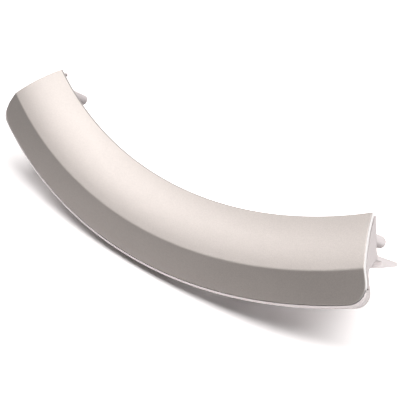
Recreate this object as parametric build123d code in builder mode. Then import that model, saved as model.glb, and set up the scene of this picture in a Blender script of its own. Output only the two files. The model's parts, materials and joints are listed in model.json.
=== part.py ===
from build123d import *
import os
from math import acos, atan2, cos, degrees, hypot, radians, sin, sqrt, tan

# Arc-shaped grip for the round door of a tumble dryer, in millimetres: a painted front cover on a moulded carrier.
# It is drawn in the frame of the door. Z points out of the door, the arc is centred on the Z axis, and the
# middle of the lip lies at -Y. At the end both pieces are turned into the pose in which the grip rests on a table,
# on the middle of its lip and on the tips of its two middle hooks.

# Front outline: radii from the centre of the door, widths across the arc, heights from the edge of the lip
LIP_RADIUS = 213.6
LIP_RUN = 14.6
BAND_RUN = 24.2
CREASE_RADIUS = LIP_RADIUS - LIP_RUN
INNER_RADIUS = CREASE_RADIUS - BAND_RUN
CREASE_HEIGHT = 3.8
INNER_HEIGHT = -8.7
CROWN_RISE = 1.6
CREASE_ROUND = 2.0
HALF_ANGLE = 32.0
END_CUT_ANGLE = 28.0
LIP_CORNER = 6.5

# Front cover
COVER_WALL = 2.2
COVER_CORNER = 8.5
COVER_EDGE_ROUND = 0.45
INNER_EDGE_ROUND = 1.0

# Joint between the cover and the carrier
FIT_CLEARANCE = 0.15
JOINT_GAP = 1.4
JOINT_DEPTH = 1.8
CARRIER_SETBACK = 0.25
INNER_SETBACK = 2.4
LIP_GAP = 0.2
RIB_SETBACK = 1.2
RIB_LEAN = 6.0

# Rear carrier, with a raised rim that frames the cover along the lip
LIP_THICKNESS = 6.2
RIM_WIDTH = 1.0
RIM_DROP = 0.3
RIM_ROUND = 0.6
EDGE_ROUND = 0.9
SEAT_HEIGHT = -13.3
FLOOR_WALL = 2.0
END_WALL = 2.2
END_RIB = 1.2
STEP_WALL = 2.2
LAND_WIDTH = 3.0
FOOT_INSET = 5.1
STEP_RUN = 5.9
FOOT_RADIUS = CREASE_RADIUS - FOOT_INSET
NECK_RADIUS = FOOT_RADIUS + STEP_RUN
NECK_ROUND = 3.0

# Snap hooks on the back of the carrier: one at each end and two in between
HOOK_WALL = 1.8
HOOK_WIDTH = 9.0
HOOK_LENGTH = 28.0
HOOK_BARB = 2.0
BARB_START = 6.1
HOOK_ROOT = 2.5
HOOK_TIP_ROUND = 0.5
MIDDLE_HOOK_ANGLE = 21.0

# Locating pegs beside the end hooks
PEG_DIAMETER = 5.5
PEG_LENGTH = 20.2
PEG_TIP_ROUND = 0.8
PEG_INSET = 8.9
PEG_RADIUS = INNER_RADIUS + PEG_INSET
PEG_ANGLE = 30.2

# Pins under the cover, pressed into bosses on the carrier's floor
PIN_DIAMETER = 3.0
PIN_CLEARANCE = 0.1
PIN_INSET = 12.7
PIN_RADIUS = INNER_RADIUS + PIN_INSET
PIN_ANGLES = (-25.0, -12.5, 0.0, 12.5, 25.0)
PIN_TO_FLOOR = 1.5
BOSS_WALL = 1.6
BOSS_HEIGHT = 4.5

# Worked-out shape of the front: a crowned band of one radius, then a lip that falls evenly to its edge
lip_fall = atan2(CREASE_HEIGHT, LIP_RUN)
band_climb = CREASE_HEIGHT - INNER_HEIGHT
band_width = hypot(BAND_RUN, band_climb)
crown_curve = (band_width**2 / 4 + CROWN_RISE**2) / (2 * CROWN_RISE)
crown_drop = (crown_curve - CROWN_RISE) / band_width
crown_centre = Vector(
    (INNER_RADIUS + CREASE_RADIUS) / 2 + crown_drop * band_climb,
    (INNER_HEIGHT + CREASE_HEIGHT) / 2 - crown_drop * BAND_RUN,
)

# Limits of the blanks that are later cut to outline
SPARE_ANGLE = 4.0
sweep = HALF_ANGLE + SPARE_ANGLE
far_radius = LIP_RADIUS + LIP_THICKNESS
tall = HOOK_LENGTH + LIP_THICKNESS - SEAT_HEIGHT
carrier_top = COVER_WALL + FIT_CLEARANCE
joint_floor = COVER_WALL + JOINT_GAP
floor_top = SEAT_HEIGHT + FLOOR_WALL
hook_tip = SEAT_HEIGHT - HOOK_LENGTH


def crown_height(radius, depth):
    """Height of the crowned band at a radius, on the surface that lies a depth below it."""
    return crown_centre.Y + sqrt((crown_curve - depth) ** 2 - (radius - crown_centre.X) ** 2)


def lip_height(radius, depth):
    """Height of the lip at a radius, on the surface that lies a depth below its face."""
    return (LIP_RADIUS - radius) * tan(lip_fall) - depth / cos(lip_fall)


def crease_point(depth):
    """Where the crown and the lip meet, a depth below the front."""
    start = Vector(LIP_RADIUS, lip_height(LIP_RADIUS, depth)) - crown_centre
    inwards = Vector(-cos(lip_fall), sin(lip_fall))
    along = start.dot(inwards)
    run = sqrt(along**2 - start.dot(start) + (crown_curve - depth) ** 2) - along
    return crown_centre + start + inwards * run


def front_points(depth):
    """Inner edge, a point of the crown, the crease and a far point of the lip, a depth below the front."""
    crease = crease_point(depth)
    middle = (INNER_RADIUS + crease.X) / 2
    edge = crown_centre + (Vector(INNER_RADIUS, INNER_HEIGHT) - crown_centre) * (1 - depth / crown_curve)
    return (
        (edge.X, edge.Y),
        (middle, crown_height(middle, depth)),
        (crease.X, crease.Y),
        (far_radius, lip_height(far_radius, depth)),
    )


def radial_plane(angle):
    """Upright plane through the door's axis. Its X runs outwards and its Y out of the door."""
    turn = radians(angle)
    return Plane((0, 0, 0), x_dir=(sin(turn), -cos(turn), 0), z_dir=(-cos(turn), -sin(turn), 0))


def at_angle(radius, angle, height):
    """A point by its radius and angle about the door's axis and its height."""
    turn = radians(angle)
    return (radius * sin(turn), -radius * cos(turn), height)


def outline(inset, inner_radius, outer_radius, corner=0.0):
    """The arc seen from the front, its end cuts moved inwards by an inset, its two outer corners rounded."""
    corner_x, corner_y, _ = at_angle(INNER_RADIUS, HALF_ANGLE, 0)
    cut = radians(END_CUT_ANGLE)
    x, y = corner_x - inset * cos(cut), corner_y - inset * sin(cut)
    inwards = LIP_RADIUS - INNER_RADIUS
    right = [(x + run * sin(cut), y - run * cos(cut)) for run in (-inwards, LIP_RADIUS)]
    left = [(-px, py) for px, py in reversed(right)]
    with BuildSketch() as plan:
        Circle(outer_radius)
        Circle(inner_radius, mode=Mode.SUBTRACT)
        with BuildLine():
            Polyline(*right, *left, close=True)
        make_face(mode=Mode.INTERSECT)
        if corner > 0:
            fillet(plan.vertices().sort_by_distance((0, 0, 0))[-2:], corner)
    return plan.sketch


def over(plan, part, shallow, deep):
    """Edges of a part that stand over the rim of a plan, between two depths below the front."""
    rim = plan.faces()[0].outer_wire()
    near = 0.01

    def stands_there(edge):
        middle = edge @ 0.5
        radius = hypot(middle.X, middle.Y)
        surface = min(lip_height(radius, 0), crown_height(radius, 0))
        on_rim = rim.distance_to(Vertex(middle.X, middle.Y, 0)) < near
        return on_rim and shallow <= surface - middle.Z <= deep

    return part.edges().filter_by(stands_there)


def hook_sketch():
    """Section of a snap hook: a straight leg with a barb that tapers from its catch to the tip."""
    leg = FOOT_RADIUS - HOOK_WALL
    buried = SEAT_HEIGHT + FLOOR_WALL / 2
    root = (leg, SEAT_HEIGHT)
    tips = [(leg, hook_tip), (FOOT_RADIUS, hook_tip)]
    catch = SEAT_HEIGHT - BARB_START
    barb = [(FOOT_RADIUS + HOOK_BARB, catch), (FOOT_RADIUS, catch), (FOOT_RADIUS, buried)]
    flange = [(leg - 2 * HOOK_ROOT, buried), (leg - 2 * HOOK_ROOT, SEAT_HEIGHT)]
    with BuildSketch(radial_plane(0)) as section:
        with BuildLine():
            Polyline(*flange, root, *tips, *barb, close=True)
        make_face()
        fillet(section.vertices().sort_by_distance(root)[0], HOOK_ROOT)
        for tip in tips:
            fillet(section.vertices().sort_by_distance(tip)[0], HOOK_TIP_ROUND)
    return section.sketch


def front_layer(shallow, deep, plan, rounded=False):
    """Layer that follows the crown and the lip between two depths below the front, cut to a plan."""
    upper = front_points(shallow)
    lower = front_points(deep)
    with BuildPart() as layer:
        with BuildSketch(radial_plane(-sweep)) as section:
            with BuildLine():
                ThreePointArc(*upper[:3])
                Polyline(upper[2], upper[3], lower[3], lower[2])
                ThreePointArc(lower[2], lower[1], lower[0])
                Line(lower[0], upper[0])
            make_face()
            if rounded:
                fillet(section.vertices().sort_by_distance(upper[2])[0], CREASE_ROUND)
                fillet(section.vertices().sort_by_distance(upper[0])[0], INNER_EDGE_ROUND)
        revolve(axis=Axis.Z, revolution_arc=2 * sweep)
        extrude(plan, amount=tall, both=True, mode=Mode.INTERSECT)
    return layer.part


# Plans: the cover, the carrier behind it, and the rim that the carrier shows round the cover's lip
cover_inside = INNER_RADIUS - COVER_WALL
cover_reach = LIP_RADIUS - RIM_WIDTH - LIP_GAP
cover_plan = outline(0, cover_inside, cover_reach, COVER_CORNER)
carrier_edge = INNER_RADIUS + INNER_SETBACK
rib_edge = INNER_RADIUS + RIB_SETBACK
lip_plan = outline(CARRIER_SETBACK, carrier_edge, LIP_RADIUS, LIP_CORNER)
cavity_plan = outline(CARRIER_SETBACK + END_WALL, INNER_RADIUS, LIP_RADIUS)
rim_plan = outline(CARRIER_SETBACK, CREASE_RADIUS + CREASE_ROUND, LIP_RADIUS, LIP_CORNER)
room_plan = outline(-LIP_GAP, cover_inside, cover_reach + LIP_GAP, COVER_CORNER)
with BuildSketch() as carrier_plan:
    add(outline(CARRIER_SETBACK, rib_edge, FOOT_RADIUS))
    add(outline(CARRIER_SETBACK + END_RIB, INNER_RADIUS, LIP_RADIUS), mode=Mode.SUBTRACT)
    add(lip_plan)
with BuildSketch() as tongue_plan:
    add(carrier_plan.sketch)
    tongue_edge = carrier_edge + JOINT_DEPTH
    tongue_reach = cover_reach - JOINT_DEPTH
    add(outline(CARRIER_SETBACK + JOINT_DEPTH, tongue_edge, tongue_reach, COVER_CORNER), mode=Mode.INTERSECT)

# Front cover: one wall along the crown and the lip, and the pins that hold it
with BuildPart() as front_cover:
    add(front_layer(0, COVER_WALL, cover_plan, rounded=True))
    fillet(over(cover_plan, front_cover, -COVER_EDGE_ROUND, COVER_EDGE_ROUND), COVER_EDGE_ROUND)
    for angle in PIN_ANGLES:
        with Locations(at_angle(PIN_RADIUS, angle, floor_top + PIN_TO_FLOOR)):
            pin_top = crown_height(PIN_RADIUS, COVER_WALL / 2)
            pin_height = pin_top - floor_top - PIN_TO_FLOOR
            Cylinder(PIN_DIAMETER / 2, pin_height, align=(Align.CENTER, Align.CENTER, Align.MIN))

# Hollow of the carrier, open towards the cover
step_lean = (NECK_RADIUS - FOOT_RADIUS) / (lip_height(NECK_RADIUS, LIP_THICKNESS) - SEAT_HEIGHT)
step_inside = FOOT_RADIUS - STEP_WALL * hypot(1, step_lean)
with BuildPart() as hollow:
    with BuildSketch(radial_plane(-sweep)):
        top = CREASE_HEIGHT + COVER_WALL
        with BuildLine():
            Polyline(
                (carrier_edge + LAND_WIDTH, floor_top),
                (step_inside + step_lean * FLOOR_WALL, floor_top),
                (step_inside + step_lean * (top - SEAT_HEIGHT), top),
                (carrier_edge + LAND_WIDTH, top),
                close=True,
            )
        make_face()
    revolve(axis=Axis.Z, revolution_arc=2 * sweep)
    extrude(cavity_plan, amount=tall, both=True, mode=Mode.INTERSECT)

# Rim of the carrier: it stands up round the lip's edge and its two corners, with room for the cover inside it
with BuildPart() as rim:
    add(front_layer(RIM_DROP, joint_floor + FIT_CLEARANCE, rim_plan))
    fillet(over(lip_plan, rim, RIM_DROP - RIM_ROUND, RIM_DROP + RIM_ROUND), RIM_ROUND)
    extrude(room_plan, amount=tall, both=True, mode=Mode.SUBTRACT)

# Rear carrier: seat, step wall and lip backing, hollowed out, with its hooks, pegs and bosses
with BuildPart() as rear_carrier:
    with BuildSketch(radial_plane(-sweep)) as section:
        _, crown, crease, far = front_points(joint_floor)
        edge = (INNER_RADIUS, crown_height(INNER_RADIUS, joint_floor))
        neck = (NECK_RADIUS, lip_height(NECK_RADIUS, LIP_THICKNESS))
        with BuildLine():
            ThreePointArc(edge, crown, crease)
            Polyline(
                crease,
                far,
                (far_radius, lip_height(far_radius, LIP_THICKNESS)),
                neck,
                (FOOT_RADIUS, SEAT_HEIGHT),
                (INNER_RADIUS + RIB_LEAN, SEAT_HEIGHT),
                edge,
            )
        make_face()
        fillet(section.vertices().sort_by_distance(neck)[0], NECK_ROUND)
    revolve(axis=Axis.Z, revolution_arc=2 * sweep)
    extrude(carrier_plan.sketch, amount=tall, both=True, mode=Mode.INTERSECT)
    fillet(over(lip_plan, rear_carrier, LIP_THICKNESS - EDGE_ROUND, LIP_THICKNESS + EDGE_ROUND), EDGE_ROUND)
    add(front_layer(carrier_top, joint_floor + FIT_CLEARANCE, tongue_plan.sketch))
    add(rim.part)
    add(hollow.part, mode=Mode.SUBTRACT)
    half_width = degrees(HOOK_WIDTH / 2 / FOOT_RADIUS)
    for angle in (-MIDDLE_HOOK_ANGLE, MIDDLE_HOOK_ANGLE):
        leg = hook_sketch().rotate(Axis.Z, angle - half_width)
        revolve(leg.faces(), axis=Axis.Z, revolution_arc=2 * half_width)
    for angle in PIN_ANGLES:
        with Locations(at_angle(PIN_RADIUS, angle, floor_top - FLOOR_WALL / 4)):
            boss_radius = PIN_DIAMETER / 2 + PIN_CLEARANCE + BOSS_WALL
            boss_height = BOSS_HEIGHT + FLOOR_WALL / 4
            Cylinder(boss_radius, boss_height, align=(Align.CENTER, Align.CENTER, Align.MIN))
        with Locations(at_angle(PIN_RADIUS, angle, floor_top + PIN_TO_FLOOR - PIN_CLEARANCE)):
            bore_radius = PIN_DIAMETER / 2 + PIN_CLEARANCE
            Cylinder(bore_radius, tall, align=(Align.CENTER, Align.CENTER, Align.MIN), mode=Mode.SUBTRACT)
    for angle in (-PEG_ANGLE, PEG_ANGLE):
        with Locations(at_angle(PEG_RADIUS, angle, SEAT_HEIGHT + FLOOR_WALL / 2)):
            peg_height = PEG_LENGTH + FLOOR_WALL / 2
            Cylinder(PEG_DIAMETER / 2, peg_height, align=(Align.CENTER, Align.CENTER, Align.MAX))
        fillet(rear_carrier.edges(Select.LAST).sort_by(Axis.Z)[0], PEG_TIP_ROUND)

# End hooks: the same section along the arc, kept only beside the end cuts
with BuildPart() as end_hooks:
    revolve(hook_sketch().rotate(Axis.Z, -sweep).faces(), axis=Axis.Z, revolution_arc=2 * sweep)
    with BuildSketch():
        add(outline(CARRIER_SETBACK, INNER_RADIUS, LIP_RADIUS))
        add(outline(CARRIER_SETBACK + HOOK_WIDTH, INNER_RADIUS, LIP_RADIUS), mode=Mode.SUBTRACT)
    extrude(amount=tall, both=True, mode=Mode.INTERSECT)
rear_carrier.part = rear_carrier.part + end_hooks.part

# Resting pose: the rim's rounded back edge and the middle hooks' rounded tips come down to one level
rim_y = EDGE_ROUND - LIP_RADIUS
rim_z = lip_height(LIP_RADIUS - EDGE_ROUND, LIP_THICKNESS - EDGE_ROUND)
inner_side = radians(MIDDLE_HOOK_ANGLE) - HOOK_WIDTH / 2 / FOOT_RADIUS
tip_y = (HOOK_TIP_ROUND - FOOT_RADIUS) * cos(inner_side)
tip_z = hook_tip + HOOK_TIP_ROUND
spread = hypot(rim_y - tip_y, rim_z - tip_z)
tilt = atan2(rim_y - tip_y, rim_z - tip_z) + acos((EDGE_ROUND - HOOK_TIP_ROUND) / spread)
lift = EDGE_ROUND - rim_y * sin(tilt) - rim_z * cos(tilt)
turned = Location((0, 0, 0), (degrees(tilt), 0, 0))
reach = rear_carrier.part.moved(turned).bounding_box()
rest_pose = Location((0, -(reach.min.Y + reach.max.Y) / 2, lift), (degrees(tilt), 0, 0))
front_cover.part = front_cover.part.moved(rest_pose)
rear_carrier.part = rear_carrier.part.moved(rest_pose)

os.makedirs("parts", exist_ok=True)
front_cover.part.label = "front_cover"
export_step(front_cover.part, "parts/front_cover.step")
rear_carrier.part.label = "rear_carrier"
export_step(rear_carrier.part, "parts/rear_carrier.step")
print("tilt", round(degrees(tilt), 2), "arc centre", rest_pose.position)
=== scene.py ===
# %% [markdown]
# # A dryer door handle in satin silver
# The handle is a curved grip that snaps into the ring of a round dryer door. Its two mouldings come from
# the CAD model and stay exactly where the model puts them. This lesson gives them their finishes, a table
# to lie on, soft light and a camera.

# %% Load the handle
import json
from math import cos, pi, radians, sin

import bpy
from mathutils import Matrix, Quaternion, Vector

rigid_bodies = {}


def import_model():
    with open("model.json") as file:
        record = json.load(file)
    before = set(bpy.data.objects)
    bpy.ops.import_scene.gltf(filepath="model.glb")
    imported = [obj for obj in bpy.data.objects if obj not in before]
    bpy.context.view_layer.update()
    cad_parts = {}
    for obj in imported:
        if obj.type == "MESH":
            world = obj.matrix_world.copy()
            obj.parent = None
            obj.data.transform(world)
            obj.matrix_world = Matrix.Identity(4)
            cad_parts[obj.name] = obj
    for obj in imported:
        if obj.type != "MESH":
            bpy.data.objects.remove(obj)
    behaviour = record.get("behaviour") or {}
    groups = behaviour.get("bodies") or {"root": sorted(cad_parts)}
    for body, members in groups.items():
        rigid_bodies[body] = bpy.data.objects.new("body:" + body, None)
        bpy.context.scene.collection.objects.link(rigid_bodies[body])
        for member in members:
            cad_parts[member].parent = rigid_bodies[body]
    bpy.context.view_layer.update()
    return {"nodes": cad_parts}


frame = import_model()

cover = frame["nodes"]["front_cover"]
carrier = frame["nodes"]["rear_carrier"]
stage_objects = bpy.context.scene.collection.objects

# %% [markdown]
# ## Camera
# The photo looks down on the handle from its right front corner. A camera can be aimed with a constraint,
# but here its place and angles were fitted to the photo, so they are set directly. The small roll was
# fitted in the same way. The same two helpers aim the lamps later on.

# %% Place the camera
CAMERA_PLACE = (0.2129, -0.2269, 0.2573)
CAMERA_AZIMUTH = 41.0
CAMERA_ELEVATION = 37.67
CAMERA_ROLL = -0.73
SENSOR_MM = 36.0
LENS_MM = 75.27
NEAREST_SEEN = 0.01


def way_to(azimuth, elevation):
    """Direction out from the handle in degrees: azimuth 0 is its front, 90 its right end."""
    turn = radians(azimuth)
    rise = radians(elevation)
    return Vector((sin(turn) * cos(rise), -cos(turn) * cos(rise), sin(rise)))


def stand(name, data, place, facing, roll=0.0):
    """A camera or lamp at a place, looking along a direction and rolled about it."""
    made = bpy.data.objects.new(name, data)
    stage_objects.link(made)
    made.location = place
    made.rotation_mode = "QUATERNION"
    made.rotation_quaternion = facing.to_track_quat("-Z", "Y") @ Quaternion((0, 0, 1), radians(roll))
    return made


lens = bpy.data.cameras.new("photo_camera")
lens.sensor_width = SENSOR_MM
lens.lens = LENS_MM
lens.clip_start = NEAREST_SEEN
backwards = -way_to(CAMERA_AZIMUTH, CAMERA_ELEVATION)
bpy.context.scene.camera = stand("photo_camera", lens, CAMERA_PLACE, backwards, CAMERA_ROLL)
bpy.context.scene.view_settings.view_transform = "Standard"
print("camera at", CAMERA_PLACE)

# %% [markdown]
# ## Small helpers for node trees
# Shader trees are quicker to read when a node is made, set and wired in a line or two. These helpers add a
# node, a colour mix or a ramp from one span of values to another, and start a material or a node group.
# They hold no look of their own. A Mix node has sockets of one name for each data type, so its colour
# sockets go by number.

# %% Helpers for node trees
MIX_FIRST = 6
MIX_SECOND = 7
MIX_RESULT = 2


def add_node(tree, kind, **settings):
    """A new node, with its properties set by name."""
    made = tree.nodes.new(kind)
    for name, value in settings.items():
        setattr(made, name, value)
    return made


def add_mix(tree, first=None, second=None):
    """A Mix node for two colours, each one set here or left for a wire."""
    made = add_node(tree, "ShaderNodeMix", data_type="RGBA")
    for socket, colour in ((MIX_FIRST, first), (MIX_SECOND, second)):
        if colour is not None:
            made.inputs[socket].default_value = (*colour, 1)
    return made


def add_ramp(tree, taken=(0.0, 1.0), given=(0.0, 1.0), kind="LINEAR"):
    """A Map Range node from one span of values to another."""
    made = add_node(tree, "ShaderNodeMapRange", interpolation_type=kind)
    for label, value in zip(("From Min", "From Max", "To Min", "To Max"), (*taken, *given)):
        made.inputs[label].default_value = value
    return made


def new_finish(name, kind="ShaderNodeBsdfPrincipled"):
    """A material, its node tree and its one shader, wired to the output."""
    finish = bpy.data.materials.new(name)
    finish.use_nodes = True
    tree = finish.node_tree
    tree.nodes.clear()
    shader = add_node(tree, kind)
    output = add_node(tree, "ShaderNodeOutputMaterial")
    tree.links.new(shader.outputs["BSDF"], output.inputs["Surface"])
    return finish, tree, shader


def new_group(name, numbers, results):
    """A shader node group with float inputs and float outputs, and its two end nodes."""
    group = bpy.data.node_groups.new(name, "ShaderNodeTree")
    for label, value in numbers.items():
        socket = group.interface.new_socket(label, in_out="INPUT", socket_type="NodeSocketFloat")
        socket.default_value = value
    for label in results:
        group.interface.new_socket(label, in_out="OUTPUT", socket_type="NodeSocketFloat")
    entry = add_node(group, "NodeGroupInput")
    leave = add_node(group, "NodeGroupOutput")
    return group, entry, leave


print("helpers ready")

# %% [markdown]
# ## Paper on the table
# The handle lies on white paper. A lit diffuse sheet would do, but its brightness would also be thrown back
# on to the lip, which is dark in the photo. So the sheet has two colours: a bright white, a touch warm, for
# the camera and for mirrored light, which keeps the shadow, and a grey one for the soft light it gives
# back.

# %% Lay the paper
PAPER_HALF = 3.0
PAPER_SEEN = (1.95, 1.88, 1.87)
PAPER_GIVEN_BACK = (0.27, 0.27, 0.27)


def new_sheet(name, points, faces, finish):
    """A thin mesh for the stage, with its finish."""
    mesh = bpy.data.meshes.new(name)
    mesh.from_pydata(points, [], faces)
    mesh.materials.append(finish)
    made = bpy.data.objects.new(name, mesh)
    stage_objects.link(made)
    return made


def seen_or_mirrored(tree):
    """A value of 1 for rays from the camera, a mirror or glass, and 0 for soft light."""
    path = add_node(tree, "ShaderNodeLightPath")
    direct = add_node(tree, "ShaderNodeMath", operation="MAXIMUM")
    either = add_node(tree, "ShaderNodeMath", operation="MAXIMUM")
    tree.links.new(path.outputs["Is Camera Ray"], direct.inputs[0])
    tree.links.new(path.outputs["Is Glossy Ray"], direct.inputs[1])
    tree.links.new(direct.outputs[0], either.inputs[0])
    tree.links.new(path.outputs["Is Transmission Ray"], either.inputs[1])
    return either.outputs[0]


white, tree, matte = new_finish("white_paper", "ShaderNodeBsdfDiffuse")
whites = add_mix(tree, PAPER_GIVEN_BACK, PAPER_SEEN)
tree.links.new(seen_or_mirrored(tree), whites.inputs["Factor"])
tree.links.new(whites.outputs[MIX_RESULT], matte.inputs["Color"])
corners = [(PAPER_HALF * x, PAPER_HALF * y, 0) for x, y in ((-1, -1), (1, -1), (1, 1), (-1, 1))]
paper = new_sheet("paper", corners, [(0, 1, 2, 3)], white)
print("paper", 2 * PAPER_HALF, "m wide")

# %% [markdown]
# ## Four soft lamps
# The light in the photo can be read from the handle. The end wall is bright, so one lamp is low behind the
# right end. Two more hang high, one behind and one over the left, where the band shines most. A weak one
# low on the left lifts the lip. A sun with a wide angle acts as a large softbox far away, and lights the
# paper evenly. The room itself is white where it is seen or mirrored, and nearly black as a source of
# light.

# %% Hang the lamps
LAMPS = {
    "lamp_low_behind": {"azimuth": 135, "elevation": 20, "spread": 45, "level": 0.28},
    "lamp_high_behind": {"azimuth": 125, "elevation": 64, "spread": 50, "level": 0.46},
    "lamp_high_left": {"azimuth": 268, "elevation": 66, "spread": 36, "level": 0.33},
    "lamp_low_left": {"azimuth": 295, "elevation": 20, "spread": 40, "level": 0.09},
}
ROOM_LEVEL = 0.008

for name, lamp in LAMPS.items():
    sun = bpy.data.lights.new(name, "SUN")
    sun.angle = radians(lamp["spread"])
    sun.energy = pi * lamp["level"]
    place = way_to(lamp["azimuth"], lamp["elevation"])
    stand(name, sun, place, -place)

room = bpy.data.worlds.new("white_room")
bpy.context.scene.world = room
room.use_nodes = True
tree = room.node_tree
tree.nodes.clear()
level = add_ramp(tree, given=(ROOM_LEVEL, 1.0))
background = add_node(tree, "ShaderNodeBackground")
output = add_node(tree, "ShaderNodeOutputWorld")
background.inputs["Color"].default_value = (1, 1, 1, 1)
tree.links.new(seen_or_mirrored(tree), level.inputs["Value"])
tree.links.new(level.outputs["Result"], background.inputs["Strength"])
tree.links.new(background.outputs["Background"], output.inputs["Surface"])
print("lamps", sorted(LAMPS), "room", ROOM_LEVEL)

# %% [markdown]
# ## A spot for the rim
# In the photo a fine pale line runs under the lip and round its right corner: the edge of the grey tray,
# which catches more light than the lip above it. A strip of white card at the edge of the picture would do
# that. Here it is a spot with a soft edge, and light linking keeps it off the paint. It fades out towards
# the left, where the line in the photo fades too.

# %% Aim the rim spot
SPOT_PLACE = Vector((0.76, -1.30, 0.36))
SPOT_AIM = Vector((0.055, -0.02, 0.02))
SPOT_WATTS = 300.0
SPOT_CONE = radians(11.5)
SPOT_SOFT_EDGE = 0.55
SPOT_RADIUS = 0.25

spot = bpy.data.lights.new("rim_spot", "SPOT")
spot.energy = SPOT_WATTS
spot.spot_size = SPOT_CONE
spot.spot_blend = SPOT_SOFT_EDGE
spot.shadow_soft_size = SPOT_RADIUS
spot.cycles.max_bounces = 0
rim_spot = stand("rim_spot", spot, SPOT_PLACE, SPOT_AIM - SPOT_PLACE)
tray_only = bpy.data.collections.new("tray_only")
tray_only.objects.link(carrier)
rim_spot.light_linking.receiver_collection = tray_only
print("spot", SPOT_WATTS, "W at", [round(v, 2) for v in SPOT_PLACE])

# %% [markdown]
# ## A black card in front of the lip
# The lip mirrors what stands in front of it, and in the photo that seems to be something dark.
# Photographers stand a black card there, just out of the picture, so this scene has one too: a low curved
# screen. It is hidden from the camera and casts no shadow of its own, and darkens what the satin paint
# mirrors.

# %% Stand the black card
CARD_DISTANCE = 0.22
CARD_FOOT = 0.0005
CARD_TOP = 0.17
CARD_FROM = radians(-115)
CARD_TO = radians(50)
CARD_STEPS = 16
CARD_COLOUR = (0.02, 0.02, 0.02, 1)
CARD_ROUGHNESS = 0.9

black, tree, shader = new_finish("black_board")
shader.inputs["Base Color"].default_value = CARD_COLOUR
shader.inputs["Roughness"].default_value = CARD_ROUGHNESS
card_points = []
for step in range(CARD_STEPS + 1):
    bend = CARD_FROM + (CARD_TO - CARD_FROM) * step / CARD_STEPS
    across = (CARD_DISTANCE * sin(bend), -CARD_DISTANCE * cos(bend))
    card_points += [(*across, CARD_FOOT), (*across, CARD_TOP)]
card_faces = [(2 * i, 2 * i + 2, 2 * i + 3, 2 * i + 1) for i in range(CARD_STEPS)]
card = new_sheet("black_card", card_points, card_faces, black)
card.visible_camera = False
card.visible_shadow = False
print("card", CARD_STEPS, "panels")

# %% [markdown]
# ## Fine grain
# Paint with metal flake and moulded plastic both break up the light on a scale of a few tenths of a
# millimetre. Two noises do this: a cell pattern for the single flakes, and a slow cloud for the way paint
# and plastic flow. It is one node group with its own sizes and amounts, because both finishes need it.

# %% Make the fine grain group
CLOUD_DETAIL = 3.0

grain, entry, leave = new_group(
    "fine_grain",
    {"Flake Size": 3500.0, "Cloud Size": 40.0, "Flake Share": 0.5},
    ("Tone", "Roughness Shift", "Height"),
)
place = add_node(grain, "ShaderNodeTexCoord")
flakes = add_node(grain, "ShaderNodeTexVoronoi", feature="F1")
clouds = add_node(grain, "ShaderNodeTexNoise")
clouds.inputs["Detail"].default_value = CLOUD_DETAIL
flake = add_node(grain, "ShaderNodeSeparateColor")
share = add_node(grain, "ShaderNodeMix", data_type="FLOAT")
for texture, size in ((flakes, "Flake Size"), (clouds, "Cloud Size")):
    grain.links.new(place.outputs["Object"], texture.inputs["Vector"])
    grain.links.new(entry.outputs[size], texture.inputs["Scale"])
grain.links.new(flakes.outputs["Color"], flake.inputs["Color"])
grain.links.new(entry.outputs["Flake Share"], share.inputs["Factor"])
grain.links.new(clouds.outputs["Fac"], share.inputs["A"])
grain.links.new(flake.outputs["Red"], share.inputs["B"])
grain.links.new(share.outputs["Result"], leave.inputs["Tone"])
grain.links.new(clouds.outputs["Fac"], leave.inputs["Roughness Shift"])
grain.links.new(flake.outputs["Green"], leave.inputs["Height"])
print("group", grain.name)

# %% [markdown]
# ## Dust
# A few pale specks lie on the lip in the photo, as on any part out of a drawer. They could be little
# meshes, but a speck mostly lightens the colour, so a mask does it. Each cell of a coarse pattern has one
# centre, and there is a speck where the surface passes close by it. Both finishes share the group.

# %% Make the dust group
dust, entry, leave = new_group("loose_dust", {"Specks": 75.0, "Speck Size": 0.022}, ("Mask",))
place = add_node(dust, "ShaderNodeTexCoord")
centres = add_node(dust, "ShaderNodeTexVoronoi", feature="F1")
disc = add_node(dust, "ShaderNodeMath", operation="LESS_THAN")
dust.links.new(place.outputs["Object"], centres.inputs["Vector"])
dust.links.new(entry.outputs["Specks"], centres.inputs["Scale"])
dust.links.new(centres.outputs["Distance"], disc.inputs[0])
dust.links.new(entry.outputs["Speck Size"], disc.inputs[1])
dust.links.new(disc.outputs[0], leave.inputs["Mask"])
print("group", dust.name)

# %% [markdown]
# ## Grain and dust on a finish
# Both mouldings take the grain in the same way: the cloud shifts the gloss and the flakes raise a fine
# relief, too low to model. Dust lies on top of whatever colour is below. Two helpers place the groups in a
# material, and each material gives its own amounts.

# %% Helpers for grain and dust
GRAIN_HEIGHT = 0.00005
DUST_COLOUR = (0.93, 0.91, 0.90)


def add_grain(tree, shader, sizes, gloss_span, relief_strength):
    """The grain group in a material, wired to its gloss and its relief."""
    fine = add_node(tree, "ShaderNodeGroup", node_tree=grain)
    for label, value in sizes.items():
        fine.inputs[label].default_value = value
    gloss = add_ramp(tree, given=gloss_span)
    relief = add_node(tree, "ShaderNodeBump")
    relief.inputs["Strength"].default_value = relief_strength
    relief.inputs["Distance"].default_value = GRAIN_HEIGHT
    tree.links.new(fine.outputs["Roughness Shift"], gloss.inputs["Value"])
    tree.links.new(gloss.outputs["Result"], shader.inputs["Roughness"])
    tree.links.new(fine.outputs["Height"], relief.inputs["Height"])
    tree.links.new(relief.outputs["Normal"], shader.inputs["Normal"])
    return fine


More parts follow.
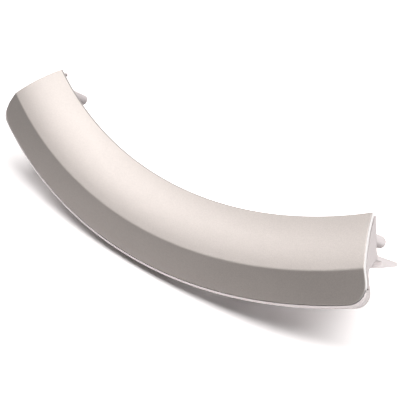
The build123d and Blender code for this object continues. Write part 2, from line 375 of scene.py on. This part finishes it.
def add_dust(tree, shader, below):
    """Dust over a colour, wired to the shader's base colour."""
    specks = add_node(tree, "ShaderNodeGroup", node_tree=dust)
    dusted = add_mix(tree, second=DUST_COLOUR)
    tree.links.new(specks.outputs["Mask"], dusted.inputs["Factor"])
    tree.links.new(below, dusted.inputs[MIX_FIRST])
    tree.links.new(dusted.outputs[MIX_RESULT], shader.inputs["Base Color"])


print("grain", GRAIN_HEIGHT, "m high")

# %% [markdown]
# ## Satin silver paint
# The front is plastic sprayed with a warm silver. It is a paint, not bare metal: most of its light is soft,
# and a broad sheen lies over it. So it is mostly a plain dielectric with a fairly rough gloss, and only the
# flakes are a little metallic. The edges of the moulding turn away from the front, so a mask from the
# normal finds them without any painting by hand. Across the two ends the cut is painted pale as a painted
# highlight, and elsewhere the edge is painted darker than the face as painted shade.

# %% Paint the front cover
OUT_OF_DOOR = (0.0, -0.7525, 0.6586)
PAINT_GRAIN = {"Flake Size": 3400.0, "Cloud Size": 45.0, "Flake Share": 0.65}
PAINT_SHADES = ((0.710, 0.639, 0.600), (0.812, 0.734, 0.690))
PAINT_GLOSS = (0.36, 0.43)
PAINT_RELIEF = 0.04
FLAKE_METAL = (0.1, 0.3)
EDGE_PAINTED_SHADE_AND_HIGHLIGHT = ((0.40, 0.36, 0.34), (0.97, 0.95, 0.94))
EDGE_TURN = (0.74, 0.58)
END_TURN = (0.5, 0.8)

silver, tree, shader = new_finish("satin_silver_paint")
fine = add_grain(tree, shader, PAINT_GRAIN, PAINT_GLOSS, PAINT_RELIEF)
shades = add_mix(tree, *PAINT_SHADES)
metal = add_ramp(tree, given=FLAKE_METAL)
tree.links.new(fine.outputs["Tone"], shades.inputs["Factor"])
tree.links.new(fine.outputs["Height"], metal.inputs["Value"])
tree.links.new(metal.outputs["Result"], shader.inputs["Metallic"])

# Edge mask: a painted highlight, pale, across the two end cuts, and painted shade, darker, on the other
# edges.
facing = add_node(tree, "ShaderNodeTexCoord")
forwards = add_node(tree, "ShaderNodeVectorMath", operation="DOT_PRODUCT")
forwards.inputs[1].default_value = OUT_OF_DOOR
edge = add_ramp(tree, EDGE_TURN, kind="SMOOTHSTEP")
sideways = add_node(tree, "ShaderNodeSeparateXYZ")
either_end = add_node(tree, "ShaderNodeMath", operation="ABSOLUTE")
end_cut_painted_highlight = add_ramp(tree, END_TURN, kind="SMOOTHSTEP")
edge_painted_shade_and_highlight = add_mix(tree, *EDGE_PAINTED_SHADE_AND_HIGHLIGHT)
paint_with_painted_edge_light = add_mix(tree)
tree.links.new(facing.outputs["Normal"], forwards.inputs[0])
tree.links.new(forwards.outputs["Value"], edge.inputs["Value"])
tree.links.new(facing.outputs["Normal"], sideways.inputs["Vector"])
tree.links.new(sideways.outputs["X"], either_end.inputs[0])
tree.links.new(either_end.outputs[0], end_cut_painted_highlight.inputs["Value"])
tree.links.new(end_cut_painted_highlight.outputs["Result"], edge_painted_shade_and_highlight.inputs["Factor"])
tree.links.new(edge.outputs["Result"], paint_with_painted_edge_light.inputs["Factor"])
tree.links.new(shades.outputs[MIX_RESULT], paint_with_painted_edge_light.inputs[MIX_FIRST])
tree.links.new(edge_painted_shade_and_highlight.outputs[MIX_RESULT], paint_with_painted_edge_light.inputs[MIX_SECOND])
add_dust(tree, shader, paint_with_painted_edge_light.outputs[MIX_RESULT])
cover.data.materials.clear()
cover.data.materials.append(silver)
print("painted", cover.name)

# %% [markdown]
# ## Light grey moulding
# The carrier is bare plastic, light grey and a little warmer than the paper. Its rim frames the lip. A
# mould leaves a fine even texture, so its grain is coarser than the paint's and its gloss lower. The thin
# pegs and hooks behind the seat look paler than the walls in the light. Light that scatters inside the
# plastic would do that, but it takes longer to render, so a mask by depth from the front paints them a
# paler shade: painted light.

# %% Finish the rear carrier
MOULDING_GRAIN = {"Flake Size": 2200.0, "Cloud Size": 60.0, "Flake Share": 0.3}
MOULDING_SHADES = ((0.605, 0.545, 0.540), (0.662, 0.600, 0.596))
MOULDING_GLOSS = (0.42, 0.5)
MOULDING_RELIEF = 0.08
PEG_PAINTED_LIGHT = (0.81, 0.74, 0.735)
SEAT_FADE = (0.0135, 0.0115)

grey, tree, shader = new_finish("light_grey_moulding")
fine = add_grain(tree, shader, MOULDING_GRAIN, MOULDING_GLOSS, MOULDING_RELIEF)
shades = add_mix(tree, *MOULDING_SHADES)
place = add_node(tree, "ShaderNodeTexCoord")
depth = add_node(tree, "ShaderNodeVectorMath", operation="DOT_PRODUCT")
depth.inputs[1].default_value = OUT_OF_DOOR
# Pegs and hooks behind the seat are painted paler: painted light, not a colour of their own.
behind_seat = add_ramp(tree, SEAT_FADE, kind="SMOOTHSTEP")
pegs_painted_lighter = add_mix(tree, second=PEG_PAINTED_LIGHT)
tree.links.new(fine.outputs["Tone"], shades.inputs["Factor"])
tree.links.new(place.outputs["Object"], depth.inputs[0])
tree.links.new(depth.outputs["Value"], behind_seat.inputs["Value"])
tree.links.new(behind_seat.outputs["Result"], pegs_painted_lighter.inputs["Factor"])
tree.links.new(shades.outputs[MIX_RESULT], pegs_painted_lighter.inputs[MIX_FIRST])
add_dust(tree, shader, pegs_painted_lighter.outputs[MIX_RESULT])
carrier.data.materials.clear()
carrier.data.materials.append(grey)
print("finished", carrier.name)
